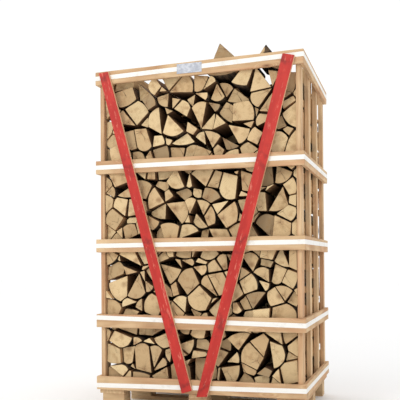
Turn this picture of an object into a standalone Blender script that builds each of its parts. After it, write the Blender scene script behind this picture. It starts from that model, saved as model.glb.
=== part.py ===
"""Pallet crate of split firewood.

Five nailed board hoops on upright boards, tied by flat bands, with two painted braces across the front.
Metres, +Z up, front towards -Y. The origin is on the floor, under the middle of the whole outline.
"""

import math
import random

import bmesh
import bpy
import numpy as np

# Driving dimensions in metres
WIDTH = 1.200
DEPTH = 0.926
GAP = 0.0003
RAIL_HEIGHT = 0.077
RAIL_THICK = 0.020
UPRIGHT_THICK = 0.025
BAND_HEIGHT = 0.025
BAND_THICK = 0.001
BRACE_THICK = 0.018
LABEL_THICK = 0.0005
BOARD_THICK = 0.022
BLOCK_HEIGHT = 0.086
BLOCK_DEPTH = 0.090
LOG_GAP = 0.005
LOG_PITCH = 0.0865

# Middle height of each hoop at its corners: front left, front right, rear right, rear left
HOOPS = {
    "top": (1.913, 1.926, 1.917, 1.911),
    "upper": (1.401, 1.394, 1.400, 1.403),
    "middle": (0.952, 0.951, 0.953, 0.953),
    "lower": (0.524, 0.519, 0.521, 0.524),
    "bottom": (0.170, 0.175, 0.173, 0.172),
}
# How far each band sits above the middle of its hoop, at the same corners
BAND_RISES = {
    "top": (0.000, 0.010, 0.004, 0.000),
    "upper": (0.000, 0.004, 0.006, 0.002),
    "middle": (0.000, 0.005, 0.010, 0.004),
    "lower": (0.018, 0.000, 0.006, 0.010),
    "bottom": (-0.014, 0.006, 0.004, -0.004),
}
# Upright boards of one side, from the front: distance of the front edge from the front rails, and width
UPRIGHTS = {
    "front_corner": (0.0003, 0.075),
    "front_slat": (0.278, 0.056),
    "rear_slat": (0.562, 0.052),
    "rear_corner": (0.8297, 0.056),
}
# Braces in the plane of the front: left and right end of the top edge, then of the bottom edge
BRACES = {
    "brace_left": ((-0.570, 1.938), (-0.509, 1.943), (-0.080, 0.137), (-0.018, 0.156)),
    "brace_right": ((0.492, 1.944), (0.558, 1.928), (0.004, 0.122), (0.068, 0.127)),
}
# Loose logs on top of the front row: corners about the tip, how far the bark side bows out, and the tip's x
TOP_LOGS = {
    "top_log_wide": (
        ((-0.070, -0.165), (0.085, -0.165), (0.120, -0.118), (0.0, 0.0), (-0.100, -0.125)),
        0.012,
        0.140,
    ),
    "top_log_small": (((-0.058, -0.080), (0.064, -0.086), (0.0, 0.0)), 0.012, 0.396),
}
# Where the pile stays lower to bear those logs: middle, half width and height
TOP_LOG_PLACES = ((0.146, 0.115, 1.925), (0.396, 0.062, 1.930))
# The pile elsewhere: its height, a hump given as middle, half width and height, and the low right end
PILE_HEIGHT = 1.966
PILE_HUMP = (-0.040, 0.080, 1.990)
PILE_RIGHT = (0.490, 1.860)
LABEL_MIDDLE = (-0.029, 1.922)
LABEL_SIZE = (0.144, 0.054)
PALLET_COLUMNS = {"left": (-0.572, -0.438), "centre": (-0.053, 0.053), "right": (0.438, 0.572)}
CROSS_OVERHANG = 0.018
DECK_WIDTH = 0.150
DECK_COUNT = 4

# The braces stand out in front and the bands behind, so the frame sits this far back of the middle
BAND_OUT = GAP + BAND_THICK
BRACE_BACK = BAND_OUT + GAP
SHIFT = (BRACE_BACK + BRACE_THICK - BAND_OUT) / 2
FRONT = SHIFT - DEPTH / 2
REAR = SHIFT + DEPTH / 2
SIDE = WIDTH / 2
RAIL_INNER = SIDE - RAIL_THICK
UPRIGHT_INNER = RAIL_INNER - GAP - UPRIGHT_THICK

SKID_TOP = BOARD_THICK
BLOCK_TOP = SKID_TOP + GAP + BLOCK_HEIGHT
STRINGER_TOP = BLOCK_TOP + GAP + BOARD_THICK
DECK_TOP = STRINGER_TOP + GAP + BOARD_THICK

# The firewood lies in three rows, front to rear, with a little room between them
ROW_GAP = 0.004
ROW_LENGTH = (DEPTH - 2 * RAIL_THICK - 2 * GAP - 2 * ROW_GAP) / 3
ROW_STARTS = [FRONT + RAIL_THICK + GAP + row * (ROW_LENGTH + ROW_GAP) for row in range(3)]
STACK_SIDE = UPRIGHT_INNER - 0.002
STACK_FLOOR = DECK_TOP + GAP
# Seeds of the logs: highest seed, height of a staggered row per pitch, and shift and spread of size per pitch
SEED_TOP = 2.04
SEED_ROW = 0.866
SEED_SHIFT = 0.36
SEED_SPREAD = 0.95
CELL_TOP = 2.06
LEAST_AREA = 0.0012
# Log ends: how common each number of corners is, the most area a dropped corner takes, and the bark's bow
CORNER_COUNTS = (3, 4, 5)
CORNER_SHARES = (0.50, 0.38, 0.12)
MOST_DROPPED = 0.24
MOST_TURN = 9
MOST_BOW = 0.26
FLAT_BOW = 0.02
LEAST_RISE = 0.004
# How far log ends lie behind the face of their row: most, most for the deep ones, and share of the others
SET_BACK = 0.035
DEEP_SET_BACK = 0.058
SHALLOW_SHARE = 0.85
# Loose logs start this far behind the row's face and are this much shorter than the row
TOP_LOG_NEAR = 0.004
TOP_LOG_SHORTER = 0.014
CORE_RECESS = 0.075
CORE_STATIONS = 16
CORE_BELOW = 0.030
CORE_BITE = 0.006

PINE = ("pine", (0.66, 0.47, 0.29, 1.0), 0.75, 0.0)
PALLET = ("pallet_wood", (0.52, 0.38, 0.24, 1.0), 0.85, 0.0)
PAINTED = ("red_paint", (0.62, 0.03, 0.025, 1.0), 0.55, 0.0)
BAND = ("white_band", (0.86, 0.86, 0.84, 1.0), 0.45, 0.0)
CARD = ("label_card", (0.74, 0.79, 0.82, 1.0), 0.60, 0.0)
FIREWOOD = ("firewood", (0.62, 0.47, 0.28, 1.0), 0.85, 0.0)


def clear_scene():
    for obj in list(bpy.data.objects):
        bpy.data.objects.remove(obj, do_unlink=True)


def material(look):
    """The Principled material of one kind of surface, made once."""
    name, colour, roughness, metallic = look
    found = bpy.data.materials.get(name)
    if found:
        return found
    made = bpy.data.materials.new(name)
    made.use_nodes = True
    shader = made.node_tree.nodes["Principled BSDF"]
    shader.inputs["Base Color"].default_value = colour
    shader.inputs["Roughness"].default_value = roughness
    shader.inputs["Metallic"].default_value = metallic
    made.diffuse_color = colour
    return made


def add_object(name, shape, look):
    """Puts a bmesh in the scene as one named object whose faces point out."""
    bmesh.ops.recalc_face_normals(shape, faces=shape.faces)
    mesh = bpy.data.meshes.new(name)
    shape.to_mesh(mesh)
    shape.free()
    mesh.materials.append(material(look))
    obj = bpy.data.objects.new(name, mesh)
    bpy.context.scene.collection.objects.link(obj)
    return obj


def add_prism(shape, near, far):
    """A closed prism between two outlines of as many points."""
    first = [shape.verts.new(point) for point in near]
    second = [shape.verts.new(point) for point in far]
    shape.faces.new(first)
    shape.faces.new(second)
    count = len(near)
    for i in range(count):
        after = (i + 1) % count
        shape.faces.new((first[i], first[after], second[after], second[i]))


def prism(name, near, far, look):
    shape = bmesh.new()
    add_prism(shape, near, far)
    return add_object(name, shape, look)


def box(name, low, high, look):
    near = [(x, y, low[2]) for x, y in rectangle(low, high)]
    far = [(x, y, high[2]) for x, y in rectangle(low, high)]
    return prism(name, near, far, look)


def rectangle(low, high):
    return [(low[0], low[1]), (high[0], low[1]), (high[0], high[1]), (low[0], high[1])]


def rail(name, start, end, inward):
    """A board on edge between two corners given as (x, y, middle height), with its thickness inwards."""
    outline = []
    for (x, y, middle), side in ((start, -1), (end, -1), (end, 1), (start, 1)):
        outline.append((x, y, middle + side * RAIL_HEIGHT / 2))
    inner = [(x + inward[0], y + inward[1], z) for x, y, z in outline]
    prism(name, outline, inner, PINE)


def hoop(name, heights):
    """Four boards: the front and rear ones run the full width and cover the ends of the side ones."""
    front_left, front_right, rear_right, rear_left = heights
    rail(f"rail_{name}_front", (-SIDE, FRONT, front_left), (SIDE, FRONT, front_right), (0, RAIL_THICK))
    rail(f"rail_{name}_rear", (SIDE, REAR, rear_right), (-SIDE, REAR, rear_left), (0, -RAIL_THICK))
    near = FRONT + RAIL_THICK + GAP
    far = REAR - RAIL_THICK - GAP
    rail(f"rail_{name}_right", (SIDE, near, front_right), (SIDE, far, rear_right), (-RAIL_THICK, 0))
    rail(f"rail_{name}_left", (-SIDE, far, rear_left), (-SIDE, near, front_left), (RAIL_THICK, 0))


def band_outline(out):
    """Loop at this distance outside the rails, round each of their corners: [(x, y, corner number)]."""
    corners = ((-1, -1, 0), (1, -1, 1), (1, 1, 2), (-1, 1, 3))
    points = []
    for side_x, side_y, corner in corners:
        start = math.atan2(side_y, side_x) - math.pi / 4
        for step in range(3):
            angle = start + step * math.pi / 4
            x = side_x * SIDE + out * math.cos(angle)
            y = SHIFT + side_y * DEPTH / 2 + out * math.sin(angle)
            points.append((x, y, corner))
    return points


def band(name, heights, rises):
    """A flat band round one hoop, over its boards."""
    outer, inner = band_outline(BAND_OUT), band_outline(GAP)
    shape = bmesh.new()
    loops = []
    for outline, side in ((outer, -1), (outer, 1), (inner, 1), (inner, -1)):
        loop = []
        for x, y, corner in outline:
            middle = heights[corner] + rises[corner]
            loop.append(shape.verts.new((x, y, middle + side * BAND_HEIGHT / 2)))
        loops.append(loop)
    count = len(outer)
    for lane in range(4):
        near, far = loops[lane], loops[(lane + 1) % 4]
        for i in range(count):
            after = (i + 1) % count
            shape.faces.new((near[i], near[after], far[after], far[i]))
    add_object(f"band_{name}", shape, BAND)


def upright(name, side, edge, width):
    """A board standing on the pallet against the inside of the side rails."""
    corner = 1 if edge < DEPTH / 2 else 2
    if side < 0:
        corner = 0 if edge < DEPTH / 2 else 3
    top = HOOPS["top"][corner] + RAIL_HEIGHT / 2
    xs = sorted((side * (RAIL_INNER - GAP), side * UPRIGHT_INNER))
    y = FRONT + RAIL_THICK + edge
    box(name, (xs[0], y, STRINGER_TOP + GAP), (xs[1], y + width, top), PINE)


def brace(name, top_left, top_right, bottom_left, bottom_right):
    """A painted board over the front rails and bands."""
    back = FRONT - BRACE_BACK
    outline = [top_left, bottom_left, bottom_right, top_right]
    near = [(x, back - BRACE_THICK, z) for x, z in outline]
    far = [(x, back, z) for x, z in outline]
    prism(name, near, far, PAINTED)


def label():
    """A bare card on the top front rail, over the band."""
    back = FRONT - BRACE_BACK
    x, z = LABEL_MIDDLE
    half_width, half_height = LABEL_SIZE[0] / 2, LABEL_SIZE[1] / 2
    low = (x - half_width, back - LABEL_THICK, z - half_height)
    high = (x + half_width, back, z + half_height)
    box("label", low, high, CARD)


def pallet():
    """Three bottom boards, nine blocks, three cross boards and the deck."""
    front = FRONT + RAIL_THICK
    rear = REAR - RAIL_THICK
    middle = (front + rear) / 2
    outer_left, outer_right = PALLET_COLUMNS["left"][0], PALLET_COLUMNS["right"][1]
    rows = {
        "front": (front, front + BLOCK_DEPTH),
        "middle": (middle - BLOCK_DEPTH / 2, middle + BLOCK_DEPTH / 2),
        "rear": (rear - BLOCK_DEPTH, rear),
    }
    for row, (near, far) in rows.items():
        box(f"pallet_skid_{row}", (outer_left, near, 0), (outer_right, far, SKID_TOP), PALLET)
        for column, (left, right) in PALLET_COLUMNS.items():
            low, high = (left, near, SKID_TOP + GAP), (right, far, BLOCK_TOP)
            box(f"pallet_block_{row}_{column}", low, high, PALLET)
    for column, (left, right) in PALLET_COLUMNS.items():
        near_x = left - CROSS_OVERHANG if column == "left" else left
        far_x = right + CROSS_OVERHANG if column == "right" else right
        low, high = (near_x, front, BLOCK_TOP + GAP), (far_x, rear, STRINGER_TOP)
        box(f"pallet_cross_{column}", low, high, PALLET)
    deck_side = UPRIGHT_INNER - GAP
    pitch = (rear - front - DECK_WIDTH) / (DECK_COUNT - 1)
    for number in range(DECK_COUNT):
        near = front + number * pitch
        low, high = (-deck_side, near, STRINGER_TOP + GAP), (deck_side, near + DECK_WIDTH, DECK_TOP)
        box(f"pallet_deck_{number + 1}", low, high, PALLET)


def pile_ceiling(x):
    """How high the pile may reach: about level with the top rails, and lower at the right end."""
    for middle, half_width, height in TOP_LOG_PLACES:
        if abs(x - middle) < half_width:
            return height
    if x > PILE_RIGHT[0]:
        return PILE_RIGHT[1]
    middle, half_width, height = PILE_HUMP
    return height if abs(x - middle) < half_width else PILE_HEIGHT


def cut(section, normal_x, normal_z, distance):
    """The part of a convex section on the near side of a line."""
    kept = []
    for i, (x0, z0) in enumerate(section):
        x1, z1 = section[(i + 1) % len(section)]
        side0 = x0 * normal_x + z0 * normal_z - distance
        side1 = x1 * normal_x + z1 * normal_z - distance
        if side0 <= 0:
            kept.append((x0, z0))
        if (side0 < 0 < side1) or (side1 < 0 < side0):
            t = side0 / (side0 - side1)
            kept.append((x0 + (x1 - x0) * t, z0 + (z1 - z0) * t))
    return kept


def log_seeds(rng, pitch):
    """Staggered places over the row: [(x, z, how large the log there may grow)]."""
    seeds = []
    rows = math.ceil((SEED_TOP - STACK_FLOOR) / (SEED_ROW * pitch))
    across = math.ceil(2 * STACK_SIDE / pitch)
    for row in range(rows):
        for column in range(across + row % 2):
            x = (column + 0.5 - 0.5 * (row % 2)) * 2 * STACK_SIDE / across - STACK_SIDE
            z = STACK_FLOOR + (row + 0.5) * SEED_ROW * pitch
            x += rng.uniform(-SEED_SHIFT, SEED_SHIFT) * pitch
            z += rng.uniform(-SEED_SHIFT, SEED_SHIFT) * pitch
            seeds.append((x, z, rng.uniform(0, 1) ** 2 * SEED_SPREAD * pitch**2))
    return seeds


def cell_of(seed, seeds, pitch):
    """The ground nearest to one seed, less half a gap all round."""
    x, z, size = seed
    cell = rectangle((-STACK_SIDE, STACK_FLOOR), (STACK_SIDE, CELL_TOP))
    for other in seeds:
        across, up = other[0] - x, other[1] - z
        apart = math.hypot(across, up)
        if other is seed or apart > 3 * pitch:
            continue
        share = 0.5 + (size - other[2]) / (2 * apart * apart)
        normal = (across / apart, up / apart)
        line = x * normal[0] + z * normal[1] + share * apart - LOG_GAP / 2
        cell = cut(cell, normal[0], normal[1], line)
        if len(cell) < 3:
            return []
    return cell


def area(section):
    total = 0.0
    for i, (x0, z0) in enumerate(section):
        x1, z1 = section[(i + 1) % len(section)]
        total += x0 * z1 - x1 * z0
    return total / 2


def corner_area(section, i):
    return area([section[i - 1], section[i], section[(i + 1) % len(section)]])


def inside(section, x, z):
    for i, (x0, z0) in enumerate(section):
        x1, z1 = section[(i + 1) % len(section)]
        if (x1 - x0) * (z - z0) - (z1 - z0) * (x - x0) < 0:
            return False
    return True


def arc(start, end, rise, steps):
    """Points between two corners along a bow that stands this far out to the right of the line."""
    (x0, z0), (x1, z1) = start, end
    across, up = x1 - x0, z1 - z0
    points = []
    for step in range(1, steps):
        t = step / steps
        out = 4 * rise * t * (1 - t) / math.hypot(across, up)
        points.append((x0 + across * t + up * out, z0 + up * t - across * out))
    return points


def turned_in(rng, corners, cell):
    """The section turned a little about its middle and drawn in, as far as it stays in its cell."""
    middle_x = sum(x for x, _ in corners) / len(corners)
    middle_z = sum(z for _, z in corners) / len(corners)
    turn = math.radians(rng.uniform(-MOST_TURN, MOST_TURN))
    scale = rng.uniform(0.93, 1.0)
    for _ in range(6):
        cos, sin = scale * math.cos(turn), scale * math.sin(turn)
        turned = []
        for x, z in corners:
            x, z = x - middle_x, z - middle_z
            turned.append((middle_x + x * cos - z * sin, middle_z + x * sin + z * cos))
        if all(inside(cell, x, z) for x, z in turned):
            return turned
        turn *= 0.6
        scale *= 0.985
    return corners


def split_log(rng, cell):
    """A log split from a round, with a few flat faces and one side of bark that bows out: (corners, rise)."""
    corners = list(cell)
    whole = area(cell)
    wanted = rng.choices(CORNER_COUNTS, CORNER_SHARES)[0]
    while len(corners) > wanted:
        least = min(range(len(corners)), key=lambda i: corner_area(corners, i))
        if corner_area(corners, least) > MOST_DROPPED * whole:
            break
        corners.pop(least)
    corners = turned_in(rng, corners, cell)
    count = len(corners)
    best, best_rise = 0, 0.0
    for i in range(count):
        start, end = corners[i], corners[(i + 1) % count]
        length = math.hypot(end[0] - start[0], end[1] - start[1])
        rise = MOST_BOW * length
        while rise > FLAT_BOW * length:
            if all(inside(cell, x, z) for x, z in arc(start, end, rise, 6)):
                break
            rise *= 0.85
        if rise > best_rise:
            best, best_rise = i, rise
    corners = corners[best:] + corners[:best]
    return corners, best_rise if best_rise > LEAST_RISE else 0.0


def log_section(log, steps):
    """Points round the end of a log; the bark side runs from its first corner to its second."""
    corners, rise = log
    bow = arc(corners[0], corners[1], rise, steps) if rise else []
    return [corners[0]] + bow + list(corners[1:])


def lay_logs(seed, pitch):
    """Logs that fill the row from side to side and from the deck to the ceiling."""
    rng = random.Random(seed)
    seeds = log_seeds(rng, pitch)
    logs = []
    for place in seeds:
        cell = cell_of(place, seeds, pitch)
        if len(cell) < 3 or area(cell) < LEAST_AREA:
            continue
        log = split_log(rng, cell)
        if all(z < pile_ceiling(x) for x, z in log_section(log, 4)):
            logs.append(log)
    return logs


def mirrored(logs):
    """The same logs seen from the other end."""
    turned = []
    for corners, rise in logs:
        flipped = [(-x, z) for x, z in corners]
        turned.append(([flipped[1], flipped[0]] + flipped[:1:-1], rise))
    return turned


def pile_height(logs, x):
    """Height of the highest log over x, or of the deck where there is none."""
    top = STACK_FLOOR
    for log in logs:
        section = log_section(log, 4)
        for i, (x0, z0) in enumerate(section):
            x1, z1 = section[(i + 1) % len(section)]
            if min(x0, x1) <= x < max(x0, x1):
                top = max(top, z0 + (z1 - z0) * (x - x0) / (x1 - x0))
    return top


def core_outline(logs):
    """The stack behind its log ends: flat below and at the sides, with a broken line on top."""
    width = 2 * STACK_SIDE / CORE_STATIONS
    points = [(-STACK_SIDE, STACK_FLOOR), (STACK_SIDE, STACK_FLOOR)]
    for i in range(CORE_STATIONS, -1, -1):
        x = i * width - STACK_SIDE
        samples = [x + share * width for share in (-0.8, -0.4, 0, 0.4, 0.8)]
        heights = [pile_height(logs, sample) for sample in samples if abs(sample) < STACK_SIDE - 0.001]
        points.append((x, sum(heights) / len(heights) - CORE_BELOW))
    return points


def core_top(outline, x):
    """Height of the core over x."""
    xs = [point[0] for point in reversed(outline[2:])]
    zs = [point[1] for point in reversed(outline[2:])]
    return float(np.interp(x, xs, zs))


def along_row(section, near, far):
    return [(x, near, z) for x, z in section], [(x, far, z) for x, z in section]


def log_stack(name, row, logs, steps, ends):
    """One row of firewood: log ends stand out of the core at the face that shows, and top logs lie on it."""
    rng = random.Random(row)
    outline = core_outline(logs)
    near, far = ROW_STARTS[row], ROW_STARTS[row] + ROW_LENGTH
    core_near = near + CORE_RECESS if ends == "front" else near
    core_far = far - CORE_RECESS if ends == "rear" else far
    core = prism(name, *along_row(outline, core_near, core_far), FIREWOOD)
    shape = bmesh.new()
    for log in logs:
        set_back = log_set_back(rng)
        section = log_section(log, steps)
        heights = [z - core_top(outline, x) for x, z in section]
        above = max(heights) > 0
        if min(heights) > -CORE_BITE or (ends == "none" and not above):
            continue
        log_near = near + set_back if ends == "front" or above else core_far - CORE_BITE
        log_far = far - set_back if ends == "rear" or above else core_near + CORE_BITE
        add_prism(shape, *along_row(section, log_near, log_far))
    log_ends = add_object(f"{name}_ends", shape, FIREWOOD)
    log_ends.hide_render = True
    log_ends.display_type = "WIRE"
    union = core.modifiers.new("log ends", "BOOLEAN")
    union.operation = "UNION"
    union.solver = "MANIFOLD"
    union.object = log_ends


def log_set_back(rng):
    """How far the end of one log lies behind the face of its row."""
    if rng.random() < SHALLOW_SHARE:
        return rng.uniform(0.0, SET_BACK)
    return rng.uniform(SET_BACK, DEEP_SET_BACK)


def top_log(name, logs):
    """A log laid on the pile of the front row."""
    corners, rise, x = TOP_LOGS[name]
    section = [(x + across, up) for across, up in log_section((corners, rise), 6)]
    low, high = min(point[0] for point in section), max(point[0] for point in section)
    lift = 0.0
    for number in range(60):
        at = low + (high - low) * (number + 0.5) / 60
        lift = max(lift, pile_height(logs, at) - lower_edge(section, at))
    section = [(across, up + lift + LOG_GAP) for across, up in section]
    near = ROW_STARTS[0] + TOP_LOG_NEAR
    prism(name, *along_row(section, near, near + ROW_LENGTH - TOP_LOG_SHORTER), FIREWOOD)


def lower_edge(section, x):
    """Lowest height of a section over x."""
    lowest = 9.9
    for i, (x0, z0) in enumerate(section):
        x1, z1 = section[(i + 1) % len(section)]
        if min(x0, x1) <= x < max(x0, x1):
            lowest = min(lowest, z0 + (z1 - z0) * (x - x0) / (x1 - x0))
    return lowest


def main():
    clear_scene()
    for name, heights in HOOPS.items():
        hoop(name, heights)
        band(name, heights, BAND_RISES[name])
    for name, (edge, width) in UPRIGHTS.items():
        upright(f"upright_{name}_right", 1, edge, width)
        upright(f"upright_{name}_left", -1, edge, width)
    for name, corners in BRACES.items():
        brace(name, *corners)
    label()
    pallet()
    front, rear = lay_logs(11, LOG_PITCH), lay_logs(23, LOG_PITCH)
    log_stack("log_stack_front", 0, front, 2, "front")
    log_stack("log_stack_middle", 1, mirrored(front), 1, "none")
    log_stack("log_stack_rear", 2, rear, 1, "rear")
    for name in TOP_LOGS:
        top_log(name, front)


main()
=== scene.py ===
"""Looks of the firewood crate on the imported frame: sawn boards, woven bands, red braces and split logs."""

import math
import random

import bmesh
import bpy
from mathutils import Matrix, Vector, noise


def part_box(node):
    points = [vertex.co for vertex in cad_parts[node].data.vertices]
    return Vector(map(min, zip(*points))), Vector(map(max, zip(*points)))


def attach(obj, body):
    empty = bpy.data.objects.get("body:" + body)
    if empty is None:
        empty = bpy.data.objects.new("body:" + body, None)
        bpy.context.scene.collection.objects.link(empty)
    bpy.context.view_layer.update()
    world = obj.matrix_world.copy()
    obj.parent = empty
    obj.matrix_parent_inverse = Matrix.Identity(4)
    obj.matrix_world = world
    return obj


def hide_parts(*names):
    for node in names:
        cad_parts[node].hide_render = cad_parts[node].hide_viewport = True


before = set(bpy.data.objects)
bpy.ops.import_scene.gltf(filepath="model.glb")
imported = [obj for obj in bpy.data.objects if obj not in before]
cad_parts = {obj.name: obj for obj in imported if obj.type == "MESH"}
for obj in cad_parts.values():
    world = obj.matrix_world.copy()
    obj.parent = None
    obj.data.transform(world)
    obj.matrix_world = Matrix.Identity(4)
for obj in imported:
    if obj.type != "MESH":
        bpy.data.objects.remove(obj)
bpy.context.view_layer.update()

# Driving dimensions of the crate in metres, as in the part
WIDTH = 1.200
DEPTH = 0.926
GAP = 0.0003
RAIL_THICK = 0.020
UPRIGHT_THICK = 0.025
BRACE_THICK = 0.018
BAND_THICK = 0.001
BOARD_THICK = 0.022
BLOCK_HEIGHT = 0.086
LOG_GAP = 0.005
LOG_PITCH = 0.0865
# Mean height of each hoop, from the top one down
HOOP_HEIGHTS = (1.919, 1.399, 0.952, 0.521, 0.172)
# Loose logs on top of the front row: corners about the tip, how far the bark side bows out, and the tip's x
TOP_LOGS = {
    "top_log_wide": (
        ((-0.070, -0.165), (0.085, -0.165), (0.120, -0.118), (0.0, 0.0), (-0.100, -0.125)),
        0.012,
        0.140,
    ),
    "top_log_small": (((-0.058, -0.080), (0.064, -0.086), (0.0, 0.0)), 0.012, 0.396),
}
# Where the pile stays lower to bear those logs: middle, half width and height
TOP_LOG_PLACES = ((0.146, 0.115, 1.925), (0.396, 0.062, 1.930))
# The pile elsewhere: its height, a hump given as middle, half width and height, and the low right end
PILE_HEIGHT = 1.966
PILE_HUMP = (-0.040, 0.080, 1.990)
PILE_RIGHT = (0.490, 1.860)

BAND_OUT = GAP + BAND_THICK
SHIFT = (BAND_OUT + GAP + BRACE_THICK - BAND_OUT) / 2
FRONT = SHIFT - DEPTH / 2
DECK_TOP = 3 * BOARD_THICK + BLOCK_HEIGHT + 3 * GAP

# The firewood lies in three rows, front to rear, with a little room between them
ROW_GAP = 0.004
ROW_LENGTH = (DEPTH - 2 * RAIL_THICK - 2 * GAP - 2 * ROW_GAP) / 3
ROW_STARTS = [FRONT + RAIL_THICK + GAP + row * (ROW_LENGTH + ROW_GAP) for row in range(3)]
STACK_SIDE = WIDTH / 2 - RAIL_THICK - GAP - UPRIGHT_THICK - 0.002
STACK_FLOOR = DECK_TOP + GAP
FRONT_SEED = 11
REAR_SEED = 23
# Seeds of the logs: highest seed, height of a staggered row per pitch, and shift and spread of size per pitch
SEED_TOP = 2.04
SEED_ROW = 0.866
SEED_SHIFT = 0.36
SEED_SPREAD = 0.95
CELL_TOP = 2.06
LEAST_AREA = 0.0012
LEAST_STICK_AREA = 0.0001
# Log ends: how common each number of corners is, the most area a dropped corner takes, and the bark's bow
CORNER_COUNTS = (3, 4, 5)
CORNER_SHARES = (0.50, 0.38, 0.12)
MOST_DROPPED = 0.24
MOST_TURN = 9
MOST_BOW = 0.26
FLAT_BOW = 0.02
LEAST_RISE = 0.004
# How far log ends lie behind the face of their row: most, most for the deep ones, and share of the others
SET_BACK = 0.035
DEEP_SET_BACK = 0.058
SHALLOW_SHARE = 0.85
HIDDEN_SET_BACK = 0.020
# Loose logs start this far behind the row's face and are this much shorter than the row
TOP_LOG_NEAR = 0.004
TOP_LOG_SHORTER = 0.014
# Within this much of its tip and to the right, the small loose log is bark
TOP_BARK_START = 0.012

# Looks of the logs: chance to lose a corner with more than four and with four, and the most it may take
DROP_CHANCES = (0.92, 0.62)
SHARPENED_MOST = 0.42
WALL_ROOM = 0.03
CORNER_BLUNT = 0.0022
MOST_BLUNT = 0.16
LOG_FINE = 0.012
TOP_LOG_FINE = 0.009
# A log's rings of points: place along it, how far they are drawn in, and 1 where they belong to the end face
LOG_RINGS = (
    [(0.0, 0.055, 1), (0.0, 0.0, 0), (0.006, -0.012, 0)]
    + [(share, -0.012, 0) for share in (0.18, 0.36, 0.54, 0.72, 0.88)]
    + [(0.994, -0.012, 0), (1.0, 0.0, 0), (1.0, 0.055, 1)]
)
PITH_REACH = (1.6, 2.4)
PITH_AWAY = (0.03, 0.09)
LEAN_ACROSS = 0.0025
LEAN_UP = 0.0015
END_TILT = 0.10
MOST_SWING = 0.004
SIDE_ROUGH = 0.0011
END_ROUGH = 0.0016
# Logs this near the posts, or with their middle over this height, have their sides lit; the split sides of
# all other logs get painted shade
LIT_SIDES_ROOM = 0.06
LIT_SIDES_HEIGHT = 1.87
# The "open" layer is 1 on logs with lit sides and 0 on logs whose split sides get painted shade
LOG_LAYERS = ("end", "bark", "tone", "warm", "rim", "open")

# Looks of the boards: how far edges are eased, how far they wander, and the spacing of their points
EDGE_EASE = 0.0016
MOST_EASE = 0.12
EDGE_WANDER = 0.0011
WANDER_SCALE = 9.0
STATION_STEP = 0.030
LEAST_STATIONS = 6
WIDE_FACE = 0.012
BARE_EDGE_FROM = 0.985
STAIN_REACH = 0.09

# Display colours of the boards: light, dark and knots
PINE_TONES = ((216, 187, 147), (158, 108, 70), (88, 48, 30))
PALLET_TONES = ((212, 184, 144), (156, 122, 88), (92, 58, 38))
PINE_DIRT = 0.32
PALLET_DIRT = 0.50

# The camera of the photograph, found from the corners of the five hoops
CAMERA_PLACE = (1.1513, -3.9271, 0.8386)
CAMERA_YAW = math.radians(17.95)
CAMERA_PITCH = math.radians(0.76)
CAMERA_ROLL = math.radians(-0.39)
SENSOR_WIDTH = 36.0
FOCAL_PIXELS = 669.85
HORIZON_BELOW_MIDDLE = 56.12
PICTURE = 400
FAR_CLIP = 60.0
FLOOR_REACH = 30
SKY_STRENGTH = 1.04
KEY_PLACE = (-1.8, -5.5, 4.6)
KEY_TARGET = (0, 0, 1.0)
KEY_SIZE = 1.6
KEY_POWER = 90
KEY_COLOUR = (1.0, 0.97, 0.92)


def rectangle(low, high):
    return [(low[0], low[1]), (high[0], low[1]), (high[0], high[1]), (low[0], high[1])]


def pile_ceiling(x):
    """How high the pile may reach: about level with the top rails, and lower at the right end."""
    for middle, half_width, height in TOP_LOG_PLACES:
        if abs(x - middle) < half_width:
            return height
    if x > PILE_RIGHT[0]:
        return PILE_RIGHT[1]
    middle, half_width, height = PILE_HUMP
    return height if abs(x - middle) < half_width else PILE_HEIGHT


def cut(section, normal_x, normal_z, distance):
    """The part of a convex section on the near side of a line."""
    kept = []
    for i, (x0, z0) in enumerate(section):
        x1, z1 = section[(i + 1) % len(section)]
        side0 = x0 * normal_x + z0 * normal_z - distance
        side1 = x1 * normal_x + z1 * normal_z - distance
        if side0 <= 0:
            kept.append((x0, z0))
        if (side0 < 0 < side1) or (side1 < 0 < side0):
            t = side0 / (side0 - side1)
            kept.append((x0 + (x1 - x0) * t, z0 + (z1 - z0) * t))
    return kept


def log_seeds(rng, pitch):
    """Staggered places over the row: [(x, z, how large the log there may grow)]."""
    seeds = []
    rows = math.ceil((SEED_TOP - STACK_FLOOR) / (SEED_ROW * pitch))
    across = math.ceil(2 * STACK_SIDE / pitch)
    for row in range(rows):
        for column in range(across + row % 2):
            x = (column + 0.5 - 0.5 * (row % 2)) * 2 * STACK_SIDE / across - STACK_SIDE
            z = STACK_FLOOR + (row + 0.5) * SEED_ROW * pitch
            x += rng.uniform(-SEED_SHIFT, SEED_SHIFT) * pitch
            z += rng.uniform(-SEED_SHIFT, SEED_SHIFT) * pitch
            seeds.append((x, z, rng.uniform(0, 1) ** 2 * SEED_SPREAD * pitch**2))
    return seeds


def cell_of(seed, seeds, pitch):
    """The ground nearest to one seed, less half a gap all round."""
    x, z, size = seed
    cell = rectangle((-STACK_SIDE, STACK_FLOOR), (STACK_SIDE, CELL_TOP))
    for other in seeds:
        across, up = other[0] - x, other[1] - z
        apart = math.hypot(across, up)
        if other is seed or apart > 3 * pitch:
            continue
        share = 0.5 + (size - other[2]) / (2 * apart * apart)
        normal = (across / apart, up / apart)
        line = x * normal[0] + z * normal[1] + share * apart - LOG_GAP / 2
        cell = cut(cell, normal[0], normal[1], line)
        if len(cell) < 3:
            return []
    return cell


def area(section):
    total = 0.0
    for i, (x0, z0) in enumerate(section):
        x1, z1 = section[(i + 1) % len(section)]
        total += x0 * z1 - x1 * z0
    return total / 2


def corner_area(section, i):
    return area([section[i - 1], section[i], section[(i + 1) % len(section)]])


def inside(section, x, z):
    for i, (x0, z0) in enumerate(section):
        x1, z1 = section[(i + 1) % len(section)]
        if (x1 - x0) * (z - z0) - (z1 - z0) * (x - x0) < 0:
            return False
    return True


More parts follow.
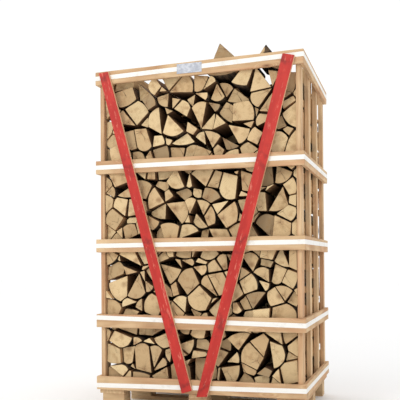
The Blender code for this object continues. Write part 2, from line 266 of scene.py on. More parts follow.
def arc(start, end, rise, steps):
    """Points between two corners along a bow that stands this far out to the right of the line."""
    (x0, z0), (x1, z1) = start, end
    across, up = x1 - x0, z1 - z0
    points = []
    for step in range(1, steps):
        t = step / steps
        out = 4 * rise * t * (1 - t) / math.hypot(across, up)
        points.append((x0 + across * t + up * out, z0 + up * t - across * out))
    return points


def turned_in(rng, corners, cell):
    """The section turned a little about its middle and drawn in, as far as it stays in its cell."""
    middle_x = sum(x for x, _ in corners) / len(corners)
    middle_z = sum(z for _, z in corners) / len(corners)
    turn = math.radians(rng.uniform(-MOST_TURN, MOST_TURN))
    scale = rng.uniform(0.93, 1.0)
    for _ in range(6):
        cos, sin = scale * math.cos(turn), scale * math.sin(turn)
        turned = []
        for x, z in corners:
            x, z = x - middle_x, z - middle_z
            turned.append((middle_x + x * cos - z * sin, middle_z + x * sin + z * cos))
        if all(inside(cell, x, z) for x, z in turned):
            return turned
        turn *= 0.6
        scale *= 0.985
    return corners


def split_log(rng, cell):
    """A log split from a round, with a few flat faces and one side of bark that bows out: (corners, rise)."""
    corners = list(cell)
    whole = area(cell)
    wanted = rng.choices(CORNER_COUNTS, CORNER_SHARES)[0]
    while len(corners) > wanted:
        least = min(range(len(corners)), key=lambda i: corner_area(corners, i))
        if corner_area(corners, least) > MOST_DROPPED * whole:
            break
        corners.pop(least)
    corners = turned_in(rng, corners, cell)
    count = len(corners)
    best, best_rise = 0, 0.0
    for i in range(count):
        start, end = corners[i], corners[(i + 1) % count]
        length = math.hypot(end[0] - start[0], end[1] - start[1])
        rise = MOST_BOW * length
        while rise > FLAT_BOW * length:
            if all(inside(cell, x, z) for x, z in arc(start, end, rise, 6)):
                break
            rise *= 0.85
        if rise > best_rise:
            best, best_rise = i, rise
    corners = corners[best:] + corners[:best]
    return corners, best_rise if best_rise > LEAST_RISE else 0.0


def log_section(log, steps):
    """Points round the end of a log; the bark side runs from its first corner to its second."""
    corners, rise = log
    bow = arc(corners[0], corners[1], rise, steps) if rise else []
    return [corners[0]] + bow + list(corners[1:])


def lay_logs(seed, pitch):
    """Logs that fill the row from side to side and from the deck to the ceiling."""
    rng = random.Random(seed)
    seeds = log_seeds(rng, pitch)
    logs = []
    for place in seeds:
        cell = cell_of(place, seeds, pitch)
        if len(cell) < 3 or area(cell) < LEAST_AREA:
            continue
        log = split_log(rng, cell)
        if all(z < pile_ceiling(x) for x, z in log_section(log, 4)):
            logs.append(log)
    return logs


def mirrored(logs):
    """The same logs seen from the other end."""
    turned = []
    for corners, rise in logs:
        flipped = [(-x, z) for x, z in corners]
        turned.append(([flipped[1], flipped[0]] + flipped[:1:-1], rise))
    return turned


def pile_height(logs, x):
    """Height of the highest log over x, or of the deck where there is none."""
    top = STACK_FLOOR
    for log in logs:
        section = log_section(log, 4)
        for i, (x0, z0) in enumerate(section):
            x1, z1 = section[(i + 1) % len(section)]
            if min(x0, x1) <= x < max(x0, x1):
                top = max(top, z0 + (z1 - z0) * (x - x0) / (x1 - x0))
    return top


def log_set_back(rng):
    """How far the end of one log lies behind the face of its row."""
    if rng.random() < SHALLOW_SHARE:
        return rng.uniform(0.0, SET_BACK)
    return rng.uniform(SET_BACK, DEEP_SET_BACK)


def lower_edge(section, x):
    """Lowest height of a section over x."""
    lowest = 9.9
    for i, (x0, z0) in enumerate(section):
        x1, z1 = section[(i + 1) % len(section)]
        if min(x0, x1) <= x < max(x0, x1):
            lowest = min(lowest, z0 + (z1 - z0) * (x - x0) / (x1 - x0))
    return lowest


class Shader:
    """A new Principled material and short ways to add nodes to it."""

    def __init__(self, name, roughness, specular=0.25):
        self.material = bpy.data.materials.new(name)
        self.material.use_nodes = True
        self.nodes = self.material.node_tree.nodes
        self.links = self.material.node_tree.links
        self.surface = self.nodes["Principled BSDF"]
        self.surface.inputs["Roughness"].default_value = roughness
        self.surface.inputs["Specular IOR Level"].default_value = specular

    def add(self, kind, inputs=(), **settings):
        node = self.nodes.new(kind)
        for key, value in settings.items():
            setattr(node, key, value)
        for key, value in dict(inputs).items():
            self.feed(node.inputs[key], value)
        return node

    def feed(self, socket, value):
        if isinstance(value, bpy.types.NodeSocket):
            self.links.new(value, socket)
        else:
            socket.default_value = value

    def maths(self, operation, first, second=0.0, third=0.0):
        return self.add("ShaderNodeMath", {0: first, 1: second, 2: third}, operation=operation).outputs[0]

    def times(self, first, second):
        return self.maths("MULTIPLY", first, second)

    def plus(self, first, second):
        return self.maths("ADD", first, second)

    def times_plus(self, first, factor, added):
        return self.maths("MULTIPLY_ADD", first, factor, added)

    def flipped(self, value):
        return self.maths("SUBTRACT", 1.0, value)

    def mix(self, share, first, second):
        node = self.nodes.new("ShaderNodeMix")
        node.data_type = "RGBA"
        for socket, value in ((node.inputs[0], share), (node.inputs[6], first), (node.inputs[7], second)):
            self.feed(socket, value)
        return node.outputs[2]

    def number(self, name):
        """A value that the mesh carries at each of its points."""
        return self.add("ShaderNodeAttribute", attribute_name=name).outputs["Fac"]

    def vector(self, name):
        return self.add("ShaderNodeAttribute", attribute_name=name).outputs["Vector"]

    def place(self):
        return self.add("ShaderNodeTexCoord").outputs["Object"]

    def axes(self, source):
        return self.add("ShaderNodeSeparateXYZ", {"Vector": source}).outputs

    def stretched(self, source, scales):
        return self.add("ShaderNodeVectorMath", {0: source, 1: scales}, operation="MULTIPLY").outputs[0]

    def speckle(self, place, scale, detail=3.0, roughness=0.55, distortion=0.0):
        values = {"Vector": place, "Scale": scale, "Detail": detail}
        values |= {"Roughness": roughness, "Distortion": distortion}
        return self.add("ShaderNodeTexNoise", values).outputs["Fac"]

    def step(self, value, low, high):
        """0 up to low and 1 from high, with a soft change between them."""
        node = self.add("ShaderNodeMapRange", {"Value": value, "From Min": low, "From Max": high})
        node.interpolation_type = "SMOOTHSTEP"
        return node.outputs["Result"]

    def finish(self, colour, height=None, strength=0.0, distance=0.0):
        """Sets the surface's colour and its relief, and gives the material."""
        self.feed(self.surface.inputs["Base Color"], colour)
        if height is not None:
            bump = self.add("ShaderNodeBump", {"Height": height, "Strength": strength, "Distance": distance})
            self.feed(self.surface.inputs["Normal"], bump.outputs["Normal"])
        return self.material


def srgb(red, green, blue):
    """A display colour, 0 to 255 each, as the linear colour that the nodes take."""
    values = []
    for channel in (red, green, blue):
        share = channel / 255
        values.append(share / 12.92 if share <= 0.04045 else ((share + 0.055) / 1.055) ** 2.4)
    return tuple(values) + (1.0,)


# Materials

def sawn_board_material(name, tones, dirt_share):
    """Rough sawn softwood: grain along the board, saw marks across it and a few knots."""
    light, dark, knot = [srgb(*tone) for tone in tones]
    s = Shader(name, 0.82)
    board = s.vector("board")
    along, across = s.axes(board)["X"], s.axes(board)["Y"]

    knot_map = s.stretched(board, (4.2, 13.0, 13.0))
    knots = s.add("ShaderNodeTexVoronoi", {"Vector": knot_map, "Scale": 1.0, "Randomness": 1.0})
    chosen = s.add("ShaderNodeSeparateColor", {"Color": knots.outputs["Color"]}).outputs[0]
    chosen = s.step(chosen, 0.36, 0.44)
    near_knot = s.times(s.flipped(s.step(knots.outputs["Distance"], 0.05, 0.34)), chosen)
    heart = s.times(s.flipped(s.step(knots.outputs["Distance"], 0.04, 0.15)), chosen)

    wave = s.speckle(s.stretched(board, (1.6, 9.0, 9.0)), 1.0, 2.0)
    bent = s.plus(s.plus(s.times(across, 90.0), s.times(wave, 9.0)), s.times(near_knot, 7.0))
    lines = s.times_plus(s.maths("SINE", s.times(bent, 3.0)), 0.5, 0.5)
    fibre = s.speckle(s.stretched(board, (9.0, 420.0, 420.0)), 1.0, 4.0, 0.6)
    patch = s.speckle(s.stretched(board, (3.0, 8.0, 8.0)), 1.0, 3.0)
    grain = s.times_plus(lines, 0.30, s.times_plus(fibre, 0.5, s.times(s.number("tone"), 0.30)))
    grain = s.plus(grain, s.times_plus(patch, 1.3, -0.92))
    colour = s.mix(s.maths("MINIMUM", s.maths("MAXIMUM", grain, 0.0), 1.0), light, dark)

    pinkish = s.step(s.speckle(s.stretched(board, (1.5, 22.0, 22.0)), 1.0, 3.0), 0.50, 0.66)
    colour = s.mix(s.times(pinkish, 0.45), colour, srgb(196, 140, 104))
    colour = s.mix(s.times(near_knot, 0.45), colour, dark)
    colour = s.mix(s.times(heart, 0.85), colour, knot)
    dirt = s.step(s.speckle(board, 7.0, 5.0, 0.65), 0.52, 0.74)
    colour = s.mix(s.times(dirt, dirt_share), colour, srgb(140, 118, 92))
    saw_marks = s.maths("SINE", s.times(s.times_plus(wave, 0.02, along), 900.0))
    return s.finish(colour, s.times_plus(fibre, 0.7, s.times(saw_marks, 0.12)), 0.45, 0.0012)


def painted_board_material():
    """Red paint over a sawn board, with pale scuffs and dark stains; the right-hand edge is bare."""
    s = Shader("red_paint_worn", 0.52, 0.4)
    board = s.vector("board")
    fibre = s.speckle(s.stretched(board, (10.0, 380.0, 380.0)), 1.0, 4.0, 0.6)
    cloud = s.speckle(s.stretched(board, (5.0, 16.0, 16.0)), 1.0, 4.0)
    red = s.mix(s.step(cloud, 0.3, 0.7), srgb(174, 33, 25), srgb(194, 45, 34))
    red = s.mix(s.times(s.step(fibre, 0.5, 0.8), 0.35), red, srgb(146, 22, 20))
    scuff = s.speckle(s.stretched(board, (14.0, 60.0, 60.0)), 1.0, 5.0, 0.7)
    red = s.mix(s.times(s.step(scuff, 0.57, 0.68), 0.75), red, srgb(222, 132, 110))
    stain = s.times(s.number("stain"), s.step(s.speckle(board, 26.0, 5.0), 0.44, 0.66))
    red = s.mix(s.times(stain, 0.62), red, srgb(78, 16, 16))
    wood = s.mix(s.step(fibre, 0.3, 0.7), srgb(236, 200, 160), srgb(204, 152, 110))
    ragged = s.plus(s.number("bare_edge"), s.times_plus(s.speckle(board, 90.0, 3.0), 0.5, -0.25))
    colour = s.mix(s.step(ragged, 0.45, 0.55), red, wood)
    return s.finish(colour, s.times_plus(fibre, 0.6, s.times(cloud, 0.3)), 0.35, 0.001)


def band_material():
    """White woven packing band: fine cords along it and a little dirt."""
    s = Shader("white_woven_band", 0.42, 0.45)
    place = s.place()
    cords = s.maths("SINE", s.times(s.axes(place)["Z"], 3600.0))
    dirt = s.step(s.speckle(place, 16.0, 5.0, 0.7), 0.50, 0.72)
    colour = s.mix(s.times(dirt, 0.5), srgb(240, 238, 232), srgb(204, 198, 188))
    streak = s.speckle(s.stretched(place, (5.0, 5.0, 500.0)), 1.0, 3.0)
    colour = s.mix(s.times(s.step(streak, 0.5, 0.75), 0.35), colour, srgb(214, 211, 204))
    return s.finish(colour, cords, 0.25, 0.0004)


def label_material():
    """Pale bluish card, faded in patches."""
    s = Shader("label_card_plain", 0.55)
    cloud = s.speckle(s.place(), 45.0, 4.0)
    colour = s.mix(s.step(cloud, 0.35, 0.65), srgb(200, 203, 210), srgb(170, 174, 184))
    return s.finish(colour, cloud, 0.2, 0.0006)


def end_grain(s, grain, blotch):
    """Colour and relief of a sawn end: rings about the pith, rays, a dark heart and cracks."""
    tone, warm = s.number("tone"), s.number("warm")
    flat = s.stretched(grain, (1.0, 0.0, 1.0))
    from_pith = s.add("ShaderNodeVectorMath", {0: flat}, operation="LENGTH").outputs["Value"]
    wobble = s.speckle(flat, 16.0, 3.0)
    rings = s.maths("SINE", s.plus(s.times(from_pith, 900.0), s.times(wobble, 9.0)))
    rings = s.times_plus(rings, 0.5, 0.5)
    angle = s.maths("ARCTAN2", s.axes(grain)["Z"], s.axes(grain)["X"])
    around = {0: s.times(angle, 9.0), 1: s.times(from_pith, 14.0), 2: tone}
    around = s.add("ShaderNodeCombineXYZ", around).outputs[0]
    rays = s.speckle(around, 2.2, 4.0, 0.7)

    colour = s.mix(tone, srgb(236, 214, 168), srgb(176, 150, 112))
    colour = s.mix(s.times(warm, 0.5), colour, srgb(206, 172, 128))
    colour = s.mix(s.times(s.step(tone, 0.86, 0.94), 0.60), colour, srgb(140, 124, 98))
    colour = s.mix(s.times(rings, 0.26), colour, srgb(170, 128, 84))
    colour = s.mix(s.times(s.step(blotch, 0.48, 0.72), 0.55), colour, srgb(160, 124, 84))
    colour = s.mix(s.times(s.step(rays, 0.56, 0.70), 0.40), colour, srgb(136, 100, 66))
    heart = s.flipped(s.step(s.times_plus(wobble, 0.012, from_pith), 0.008, 0.032))
    colour = s.mix(s.times(heart, s.times(warm, 0.65)), colour, srgb(132, 92, 60))

    spokes = s.times_plus(s.speckle(around, 0.5, 1.0), 3.0, s.times(angle, 1.5))
    spokes = s.maths("ABSOLUTE", s.maths("SINE", spokes))
    crack = s.flipped(s.step(s.times(spokes, from_pith), 0.0004, 0.0013))
    crack = s.times(crack, s.step(tone, 0.30, 0.42))
    crack = s.times(crack, s.flipped(s.step(from_pith, 0.045, 0.075)))
    colour = s.mix(s.times(crack, 0.85), colour, srgb(70, 46, 30))
    colour = s.mix(s.times(s.step(s.number("rim"), 0.35, 1.0), 0.40), colour, srgb(138, 104, 70))
    return colour, s.times_plus(rings, 0.25, s.times_plus(rays, 0.5, s.times(crack, -1.2)))


def log_side(s, grain, blotch):
    """Colour and relief of a log's sides: fibrous where it was split, dark and furrowed where it has bark;
    the split sides of logs inside the pile get painted shade.
    """
    tone, is_bark, sides_lit = s.number("tone"), s.number("bark"), s.number("open")
    fibre = s.speckle(s.stretched(grain, (170.0, 5.0, 170.0)), 1.0, 5.0, 0.62)
    streak = s.speckle(s.stretched(grain, (34.0, 2.2, 34.0)), 1.0, 3.0)
    # Painted shade: inside the pile the split sides, their fibres and their streaks take darker copies of
    # their lit colours
    inner = s.mix(tone, srgb(132, 98, 66), srgb(82, 58, 40))
    lit_side_colour = s.mix(tone, srgb(214, 176, 128), srgb(170, 128, 86))
    side = s.mix(sides_lit, inner, lit_side_colour)
    fibre_colour = s.mix(sides_lit, srgb(60, 42, 28), srgb(136, 98, 62))
    side = s.mix(s.times(s.step(fibre, 0.42, 0.72), 0.50), side, fibre_colour)
    streak_colour = s.mix(sides_lit, srgb(84, 54, 34), srgb(150, 102, 64))
    side = s.mix(s.times(s.step(streak, 0.50, 0.72), 0.40), side, streak_colour)

    furrow = s.speckle(s.stretched(grain, (60.0, 13.0, 60.0)), 1.0, 6.0, 0.7, 0.4)
    bark = s.mix(s.step(furrow, 0.36, 0.66), srgb(36, 28, 22), srgb(98, 80, 62))
    lichen = s.step(s.speckle(grain, 21.0, 5.0, 0.7), 0.58, 0.70)
    bark = s.mix(s.times(lichen, 0.5), bark, srgb(132, 128, 108))
    bark_edge = s.plus(is_bark, s.times_plus(blotch, 0.3, -0.15))
    colour = s.mix(s.step(bark_edge, 0.40, 0.60), side, bark)
    return colour, s.times_plus(fibre, 1.0, s.times(s.times(furrow, is_bark), 2.2))


def firewood_material():
    """Sawn ends, split faces and bark, told apart by what the logs carry."""
    s = Shader("split_firewood", 0.86)
    grain = s.vector("grain")
    is_end = s.number("end")
    blotch = s.speckle(grain, 26.0, 4.0, 0.6)
    end, end_height = end_grain(s, grain, blotch)
    side, side_height = log_side(s, grain, blotch)
    height = s.plus(s.times(end_height, is_end), s.times(side_height, s.flipped(is_end)))
    return s.finish(s.mix(is_end, side, end), height, 0.55, 0.0016)


def add_piece(name, node, shape, look, sharp_from):
    """Puts a bmesh in the scene as one piece that rides the frame and stands in for a CAD node."""
    bmesh.ops.recalc_face_normals(shape, faces=shape.faces)
    mesh = bpy.data.meshes.new(name)
    shape.to_mesh(mesh)
    shape.free()
    mesh.materials.append(look)
    mesh.shade_smooth()
    mesh.set_sharp_from_angle(angle=math.radians(sharp_from))
    piece = bpy.data.objects.new(name, mesh)
    bpy.context.scene.collection.objects.link(piece)
    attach(piece, "root")
    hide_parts(node)


# Boards

def board_ends(node, long_axis):
    """The corners of the two ends of a CAD board, each in turn round its end, and the board's short axes."""
    shape = bmesh.new()
    shape.from_mesh(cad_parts[node].data)
    bmesh.ops.remove_doubles(shape, verts=shape.verts, dist=1e-5)
    bmesh.ops.dissolve_limit(shape, angle_limit=0.01, verts=shape.verts, edges=shape.edges)
    corners = [vert.co.copy() for vert in shape.verts]
    shape.free()
    alongs = [corner[long_axis] for corner in corners]
    halfway = (min(alongs) + max(alongs)) / 2
    short_axes = [axis for axis in range(3) if axis != long_axis]
    near = in_turn([corner for corner in corners if corner[long_axis] < halfway], short_axes)
    far = in_turn([corner for corner in corners if corner[long_axis] >= halfway], short_axes)
    return near, far, short_axes


def in_turn(end, short_axes):
    """The four corners of one end in turn: low-low, high-low, high-high, low-high along the short axes."""
    first, second = short_axes
    middle = sum(end, Vector()) / len(end)
    found = {}
    for corner in end:
        found[(corner[first] > middle[first], corner[second] > middle[second])] = corner
    return [found[key] for key in ((False, False), (True, False), (True, True), (False, True))]


def board_outline(width, height, ease):
    """Points round a board's end as shares of its width and height, with eased corners."""
    ring = []
    for corner, (du, dv) in enumerate(((1, 1), (-1, 1), (-1, -1), (1, -1))):
        u, v = float(corner in (1, 2)), float(corner in (2, 3))
        pair = [(u + du * ease / width, v), (u, v + dv * ease / height)]
        ring += pair if corner % 2 else pair[::-1]
    points = []
    for i, (u, v) in enumerate(ring):
        points.append((u, v))
        next_u, next_v = ring[(i + 1) % len(ring)]
        if i % 2 and math.hypot((next_u - u) * width, (next_v - v) * height) > WIDE_FACE:
            points += [(u + (next_u - u) * t, v + (next_v - v) * t) for t in (0.33, 0.67)]
    return points


def drawn_in(share, inset):
    """A share of a board's width moved inwards where it lies near the board's edge."""
    if abs(share - 0.5) <= 0.3:
        return share
    return share + inset if share < 0.5 else share - inset


def sawn_board(node, long_axis, seed, look, wear=None):
    """Replaces a CAD board with a finely divided one whose edges are eased and not quite straight."""
    rng = random.Random(seed)
    near, far, short_axes = board_ends(node, long_axis)
    length = ((far[0] - near[0]).length + (far[2] - near[2]).length) / 2
    width = (near[1] - near[0]).length
    height = (near[3] - near[0]).length
    ease = min(EDGE_EASE, width * MOST_EASE, height * MOST_EASE)
    outline = board_outline(width, height, ease)
    stations = max(LEAST_STATIONS, int(length / STATION_STEP))
    shares = [0.0, ease / length] + [i / stations for i in range(1, stations)] + [1 - ease / length, 1.0]
    shape = bmesh.new()
    board = shape.verts.layers.float_vector.new("board")
    tone = shape.verts.layers.float.new("tone")
    bare = shape.verts.layers.float.new("bare_edge")
    stain = shape.verts.layers.float.new("stain")
    own_tone = rng.random()
    offset = Vector((rng.uniform(0, 50), rng.uniform(0, 50), rng.uniform(0, 50)))
    noise_place = Vector((seed * 7.3, seed * 3.1, seed * 5.7))
    wander_axis = 1 if height >= width else 0
    loops = []
    for share in shares:
        loop = []
        inset = ease if share in (0.0, 1.0) else 0.0
        wander = noise.noise(Vector((share * length, 0, seed)) * WANDER_SCALE + noise_place)
        wander = EDGE_WANDER * wander - EDGE_WANDER
        for u, v in outline:
            u_in, v_in = drawn_in(u, inset / width), drawn_in(v, inset / height)
            start = near[0].lerp(near[1], u_in).lerp(near[3].lerp(near[2], u_in), v_in)
            end = far[0].lerp(far[1], u_in).lerp(far[3].lerp(far[2], u_in), v_in)
            place = start.lerp(end, share)
            vert = shape.verts.new(place)
            vert[board] = Vector((share * length, u * width, v * height)) + offset
            vert[tone] = own_tone
            at_edge = (u, v)[wander_axis]
            if abs(at_edge - 0.5) > 0.3:
                vert.co[short_axes[wander_axis]] += wander if at_edge > 0.5 else -wander
            if wear:
                vert[bare], vert[stain] = wear(place, u)
            loop.append(vert)
        loops.append(loop)
    join_loops(shape, loops)
    shape.faces.new(loops[0])
    shape.faces.new(loops[-1])
    add_piece(f"{node}_sawn", node, shape, look, 40)


def join_loops(shape, loops):
    """Faces between each loop of points and the next."""
    count = len(loops[0])
    for first, second in zip(loops, loops[1:]):
        for i in range(count):
            after = (i + 1) % count
            shape.faces.new((first[i], first[after], second[after], second[i]))


def brace_wear(place, u):
    """Bare wood on the right-hand edge of a brace, and stains where it crosses the rails."""
    bare = 1.0 if u > BARE_EDGE_FROM else 0.0
    nearest = min(abs(place.z - height) for height in HOOP_HEIGHTS)
    return bare, max(0.0, 1 - nearest / STAIN_REACH)


def boards():
    pine = sawn_board_material("pine_sawn", PINE_TONES, PINE_DIRT)
    pallet = sawn_board_material("pallet_sawn", PALLET_TONES, PALLET_DIRT)
    red = painted_board_material()
    for number, node in enumerate(sorted(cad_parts)):
        low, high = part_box(node)
        sides = high - low
        long_axis = max(range(3), key=lambda axis: sides[axis])
        if node.startswith(("rail_", "upright_")):
            sawn_board(node, long_axis, number, pine)
        elif node.startswith("pallet_"):
            sawn_board(node, long_axis, number, pallet)
        elif node.startswith("brace_"):
            sawn_board(node, 2, number, red, brace_wear)


def bands_and_label():
    """The bands and the card keep their solids and get new surfaces."""
    woven, card = band_material(), label_material()
    for node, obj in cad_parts.items():
        if node.startswith("band_") or node == "label":
            obj.data.materials.clear()
            obj.data.materials.append(card if node == "label" else woven)


# Firewood

def sharpened(log, rng):
    """The log without its bluntest corner in most cases, so that wedges are as common as in a real pile."""
    corners, rise = log
    corners = list(corners)
    if max(abs(x) for x, _ in corners) > STACK_SIDE - WALL_ROOM:
        return corners, rise
    while len(corners) > 3 and rng.random() < DROP_CHANCES[len(corners) == 4]:
        first = 2 if rise else 0
        least, index = min((abs(corner_area(corners, i)), i) for i in range(first, len(corners)))
        if least > SHARPENED_MOST * abs(area(corners)):
            break
        corners.pop(index)
    return corners, rise


def towards(start, end, share):
    return start[0] + (end[0] - start[0]) * share, start[1] + (end[1] - start[1]) * share


def outline_points(log, rng, fine):
    """Closely spaced points round a log end with blunt corners: [(x, z, 1 on bark and 0 elsewhere)]."""
    corners, rise = sharpened(log, rng)
    points = []
    for i, start in enumerate(corners):
        end = corners[(i + 1) % len(corners)]
        length = math.dist(start, end)
        barky = bool(rise) and i == 0
        side = arc(start, end, rise if barky else 0.0, max(2, int(length / fine)))
        first = towards(start, end, min(MOST_BLUNT, CORNER_BLUNT / length))
        last = towards(end, side[-1], min(0.5, CORNER_BLUNT / max(1e-4, math.dist(end, side[-1]))))
        points += [(x, z, float(barky)) for x, z in [first] + side + [last]]
    return points


def pith_of(log, middle, rng):
    """Where the middle of the round lay that a log was split from."""
    corners, rise = log
    if rise:
        bark = towards(corners[0], corners[1], 0.5)
        return towards(bark, middle, rng.uniform(*PITH_REACH))
    turn = rng.uniform(0, 2 * math.pi)
    away = rng.uniform(*PITH_AWAY)
    return middle[0] + away * math.cos(turn), middle[1] + away * math.sin(turn)


def add_log(shape, layers, log, near, far, rng, fine):
    """One split log from near to far: rough sides, and bevelled ends with an uneven, slightly tilted face."""
    grain, end_share, bark, tone, warm, rim, lit_sides_layer = layers
    points = outline_points(log, rng, fine)
    middle_x = sum(point[0] for point in points) / len(points)
    middle_z = sum(point[1] for point in points) / len(points)
    pith = pith_of(log, (middle_x, middle_z), rng)
    own_tone, own_warm = rng.random(), rng.random()
    lean_x, lean_z = rng.uniform(-LEAN_ACROSS, LEAN_ACROSS), rng.uniform(-LEAN_UP, LEAN_UP)
    offset = Vector((0, rng.uniform(0, 40), 0))
    seed = rng.uniform(0, 90)
    tilt_x, tilt_z = rng.uniform(-END_TILT, END_TILT), rng.uniform(-END_TILT, END_TILT)
    # Painted shade: logs away from the posts and the top carry 0 here, which darkens their split sides
    has_lit_sides = float(abs(middle_x) > STACK_SIDE - LIT_SIDES_ROOM or middle_z > LIT_SIDES_HEIGHT)

    def place_at(x, z, share, inward):
        along = near + (far - near) * share
        across = x + (middle_x - x) * inward + lean_x * (share - 0.5)
        up = z + (middle_z - z) * inward + lean_z * (share - 0.5)
        rough = SIDE_ROUGH * noise.noise(Vector((across * 60, along * 9, up * 60 + seed)))
        across += rough if x > middle_x else -rough
        up += rough if z > middle_z else -rough
        at_end = 1.0 - min(1.0, min(share, 1 - share) / 0.01)
        swing = (tilt_x * (across - middle_x) + tilt_z * (up - middle_z)) * at_end
        swing = max(swing, -MOST_SWING) if share < 0.5 else min(swing, MOST_SWING)
        return Vector((across, along + swing, up))

    def new_vert(place, is_end, barky, at_rim):
        vert = shape.verts.new(place)
        vert[grain] = Vector((place.x - pith[0], place.y, place.z - pith[1])) + offset
        vert[end_share] = is_end
        vert[bark] = barky
        vert[tone] = own_tone
        vert[warm] = own_warm
        vert[rim] = at_rim
        vert[lit_sides_layer] = has_lit_sides
        return vert

    loops = []
    for share, inward, on_face in LOG_RINGS:
        is_end = float(on_face or inward == 0.0)
        loop = []
        for x, z, barky in points:
            loop.append(new_vert(place_at(x, z, share, inward), is_end, barky, 1.0 - on_face))
        loops.append(loop)
    join_loops(shape, loops)
    for loop, share in ((loops[0], 0.0), (loops[-1], 1.0)):
        inner = []
        for x, z, _ in points:
            place = place_at(x, z, share, 0.5)
            place.y += END_ROUGH * noise.noise(Vector((place.x * 45, seed, place.z * 45)))
            inner.append(new_vert(place, 1.0, 0.0, 0.0))
        centre = new_vert(place_at(middle_x, middle_z, share, 0.0), 1.0, 0.0, 0.0)
        for i, vert in enumerate(inner):
            after = (i + 1) % len(inner)
            shape.faces.new((loop[i], vert, inner[after], loop[after]))
            shape.faces.new((vert, centre, inner[after]))


def new_logs():
    shape = bmesh.new()
    layers = [shape.verts.layers.float_vector.new("grain")]
    layers += [shape.verts.layers.float.new(name) for name in LOG_LAYERS]
    return shape, layers


def kindling(seed, pitch):
    """Thin sticks for the cells that are too small for a log."""
    seeds = log_seeds(random.Random(seed), pitch)
    sticks = []
    for place in seeds:
        cell = cell_of(place, seeds, pitch)
        if len(cell) < 3 or not LEAST_STICK_AREA < area(cell) < LEAST_AREA:
            continue
        if all(z < pile_ceiling(x) for x, z in cell):
            sticks.append((cell, 0.0))
    return sticks


def log_row(node, row, logs, face, look):
    """One row of single logs in place of its solid; their set-backs are the solid's own at its open face."""
    set_backs = random.Random(row)
    rng = random.Random(100 + row)
    shape, layers = new_logs()
    near, far = ROW_STARTS[row], ROW_STARTS[row] + ROW_LENGTH
    for log in logs:
        at_face = log_set_back(set_backs)
        hidden = rng.uniform(0.0, HIDDEN_SET_BACK)
        log_near = near + (hidden if face == "rear" else at_face)
        log_far = far - (at_face if face == "rear" else hidden)
        add_log(shape, layers, log, log_near, log_far, rng, LOG_FINE)
    add_piece(f"{node}_logs", node, shape, look, 50)


def top_log_section(name, logs):
    """Corners of a loose log where it comes to rest on the pile, and how far its bark side bows out."""
    corners, rise, x = TOP_LOGS[name]
    section = [(x + across, up) for across, up in log_section((corners, rise), 6)]
    low, high = min(point[0] for point in section), max(point[0] for point in section)
    lift = 0.0
    for number in range(60):
        at = low + (high - low) * (number + 0.5) / 60
        lift = max(lift, pile_height(logs, at) - lower_edge(section, at))
    return [(x + across, up + lift + LOG_GAP) for across, up in corners], rise


def top_logs(logs, look):
    """The loose logs on top; the right side of the small one is bark."""
    rng = random.Random(5)
    near = ROW_STARTS[0] + TOP_LOG_NEAR
    far = near + ROW_LENGTH - TOP_LOG_SHORTER
    for name in TOP_LOGS:
        shape, layers = new_logs()
        add_log(shape, layers, top_log_section(name, logs), near, far, rng, TOP_LOG_FINE)
        if name == "top_log_small":
            tip = max(shape.verts, key=lambda vert: vert.co.z).co.x
            for vert in shape.verts:
                if vert.co.x > tip - TOP_BARK_START:
                    vert[layers[1]] = 0.0
                    vert[layers[2]] = 1.0
        add_piece(f"{name}_split", name, shape, look, 50)


def firewood():
    look = firewood_material()
    logs = lay_logs(FRONT_SEED, LOG_PITCH)
    front = logs + kindling(FRONT_SEED, LOG_PITCH)
    rear = lay_logs(REAR_SEED, LOG_PITCH) + kindling(REAR_SEED, LOG_PITCH)
    log_row("log_stack_front", 0, front, "front", look)
    log_row("log_stack_middle", 1, mirrored(front), "none", look)
    log_row("log_stack_rear", 2, rear, "rear", look)
    top_logs(logs, look)


# Camera, floor and light

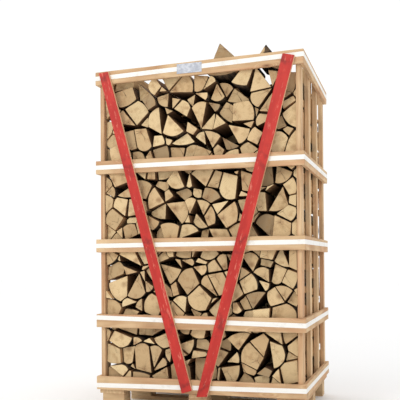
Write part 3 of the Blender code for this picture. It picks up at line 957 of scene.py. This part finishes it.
def camera():
    cos, sin = math.cos(CAMERA_YAW), math.sin(CAMERA_YAW)
    level = Vector((-sin, cos, 0))
    forward = level * math.cos(CAMERA_PITCH) + Vector((0, 0, math.sin(CAMERA_PITCH)))
    upward = -level * math.sin(CAMERA_PITCH) + Vector((0, 0, math.cos(CAMERA_PITCH)))
    right = Vector((cos, sin, 0))
    rolled_right = right * math.cos(CAMERA_ROLL) + upward * math.sin(CAMERA_ROLL)
    rolled_up = upward * math.cos(CAMERA_ROLL) - right * math.sin(CAMERA_ROLL)
    data = bpy.data.cameras.new("photo_camera")
    data.sensor_width = SENSOR_WIDTH
    data.lens = FOCAL_PIXELS / PICTURE * SENSOR_WIDTH
    data.shift_y = HORIZON_BELOW_MIDDLE / PICTURE
    data.clip_end = FAR_CLIP
    obj = bpy.data.objects.new("photo_camera", data)
    rotation = Matrix((rolled_right, rolled_up, -forward)).transposed()
    obj.matrix_world = Matrix.Translation(CAMERA_PLACE) @ rotation.to_4x4()
    bpy.context.scene.collection.objects.link(obj)
    bpy.context.scene.camera = obj


def key_light():
    data = bpy.data.lights.new("key", "AREA")
    data.shape = "DISK"
    data.size = KEY_SIZE
    data.energy = KEY_POWER
    data.color = KEY_COLOUR
    obj = bpy.data.objects.new("key", data)
    obj.location = KEY_PLACE
    aim = Vector(KEY_TARGET) - Vector(KEY_PLACE)
    obj.rotation_euler = aim.to_track_quat("-Z", "Y").to_euler()
    bpy.context.scene.collection.objects.link(obj)


def stage():
    """A plain pale floor under white light from all round, with a soft light from the front left above."""
    mesh = bpy.data.meshes.new("floor")
    outline = rectangle((-FLOOR_REACH, -FLOOR_REACH), (FLOOR_REACH, FLOOR_REACH))
    mesh.from_pydata([(x, y, 0) for x, y in outline], [], [(0, 1, 2, 3)])
    floor = bpy.data.objects.new("floor", mesh)
    s = Shader("pale_floor", 0.9)
    colour = s.mix(s.speckle(s.place(), 3.0, 2.0), (0.96, 0.96, 0.96, 1.0), (0.97, 0.97, 0.97, 1.0))
    mesh.materials.append(s.finish(colour))
    bpy.context.scene.collection.objects.link(floor)
    world = bpy.data.worlds.new("studio")
    world.use_nodes = True
    background = world.node_tree.nodes["Background"]
    background.inputs["Color"].default_value = (1.0, 1.0, 1.0, 1.0)
    background.inputs["Strength"].default_value = SKY_STRENGTH
    bpy.context.scene.world = world
    bpy.context.scene.view_settings.view_transform = "Standard"
    key_light()


camera()
stage()
boards()
bands_and_label()
firewood()
